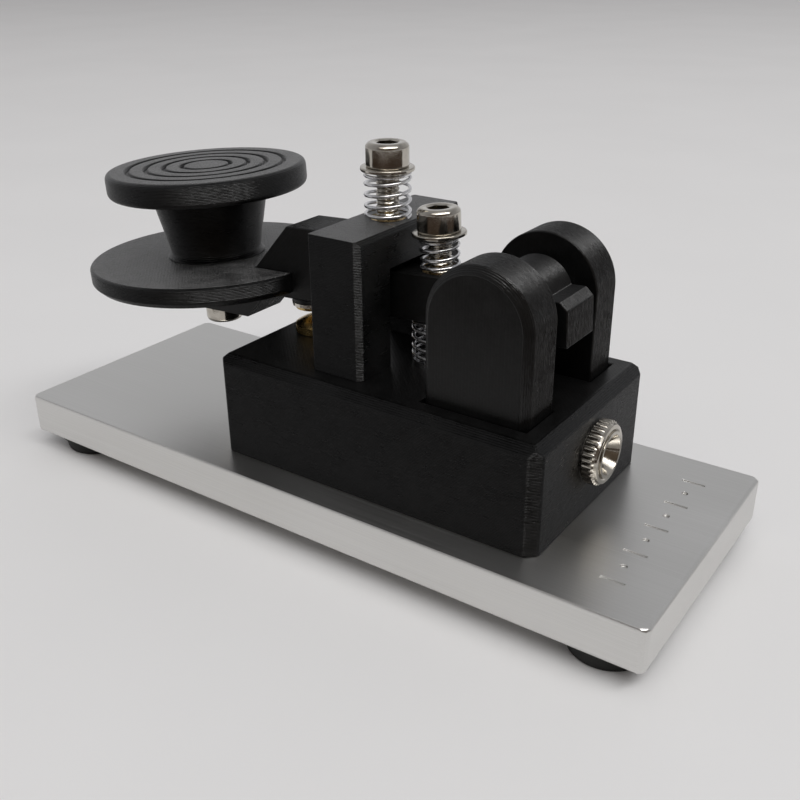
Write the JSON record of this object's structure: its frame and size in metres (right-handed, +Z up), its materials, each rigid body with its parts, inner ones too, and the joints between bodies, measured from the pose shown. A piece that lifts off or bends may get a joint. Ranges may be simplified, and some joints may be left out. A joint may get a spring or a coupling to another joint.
{
  "type": "morse key",
  "caption": "Straight telegraph key: sprung lever with round finger knob and skirt on a printed body, spring-locked gap and tension screws, alloy base plate and audio jack.",
  "frame": {"origin": "middle of the base plate at the bottom of the rubber feet", "axes": "+Z up, +X along the plate towards the jack, finger knob at -X, +Y to the side"},
  "size_m": [0.1016, 0.0382, 0.0509],
  "materials": {
    "plate_alloy": "satin",
    "black_print": "printed layers",
    "foot_rubber": "matt",
    "nickel": "polished",
    "steel": "bright",
    "brass": "satin",
    "jack_plastic": "moulded",
    "red_wire": "insulation",
    "black_wire": "insulation"
  },
  "bodies": {
    "base": {"base_plate": "plate_alloy", "rubber_feet": "foot_rubber", "base_screws": "steel", "key_body": "black_print", "bridge": "black_print", "bridge_screws": "steel", "left_pivot_post": "black_print", "right_pivot_post": "black_print", "post_screws": "steel", "pivot_pin": "steel", "inner_races": "steel", "bearing_balls": "steel", "bearing_spacers": "steel", "gap_insert": "brass", "gap_lock_spring": "steel", "return_spring": "steel", "spring_seat": "steel", "lower_contact": "brass", "contact_nut": "steel", "jack_body": "jack_plastic", "jack_bushing": "nickel", "jack_nut": "nickel", "jack_terminals": "brass", "signal_wire": "red_wire", "ground_wire": "black_wire"},
    "key_lever": {"lever": "black_print", "finger_skirt": "black_print", "finger_knob": "black_print", "knob_insert": "brass", "knob_screw": "nickel", "outer_races": "steel", "tension_insert": "brass", "tension_lock_spring": "steel", "upper_contact": "brass", "contact_washer": "nickel", "contact_insert": "brass", "lever_wire": "red_wire"},
    "gap_carriage": {"gap_washer": "nickel"},
    "gap_adjuster": {"gap_screw": "nickel"},
    "tension_carriage": {"tension_washer": "nickel", "spring_cap": "steel"},
    "tension_adjuster": {"tension_screw": "nickel"}
  },
  "joints": [
    {"name": "key_press", "type": "hinge", "parent": "base", "child": "key_lever", "pos_m": [0.02485, 0, 0.0346], "axis": [0, -1, 0], "range_deg": [0, 1.35], "stiffness_Nm_per_rad": 0.108, "springref_deg": -31.51, "deforming": ["return_spring"]},
    {"name": "gap_travel", "type": "slide", "parent": "base", "child": "gap_carriage", "axis": [0, 0, 1], "range_m": [0, 0.00049], "deforming": ["gap_lock_spring"]},
    {"name": "gap_turn", "type": "hinge", "parent": "gap_carriage", "child": "gap_adjuster", "pos_m": [0.0047, 0, 0.04785], "axis": [0, 0, 1], "range_deg": [0, 360]},
    {"name": "tension_travel", "type": "slide", "parent": "key_lever", "child": "tension_carriage", "axis": [0.0523, 0, -0.9986], "range_m": [0, 0.00024], "deforming": ["tension_lock_spring"]},
    {"name": "tension_turn", "type": "hinge", "parent": "tension_carriage", "child": "tension_adjuster", "pos_m": [0.01282, 0, 0.03397], "axis": [0.0523, 0, -0.9986], "range_deg": [0, 180]}
  ],
  "couplings": [
    {"joint": "gap_turn", "follows": "gap_travel", "rad_per_m": 12566},
    {"joint": "tension_turn", "follows": "tension_travel", "rad_per_m": 12566}
  ]
}
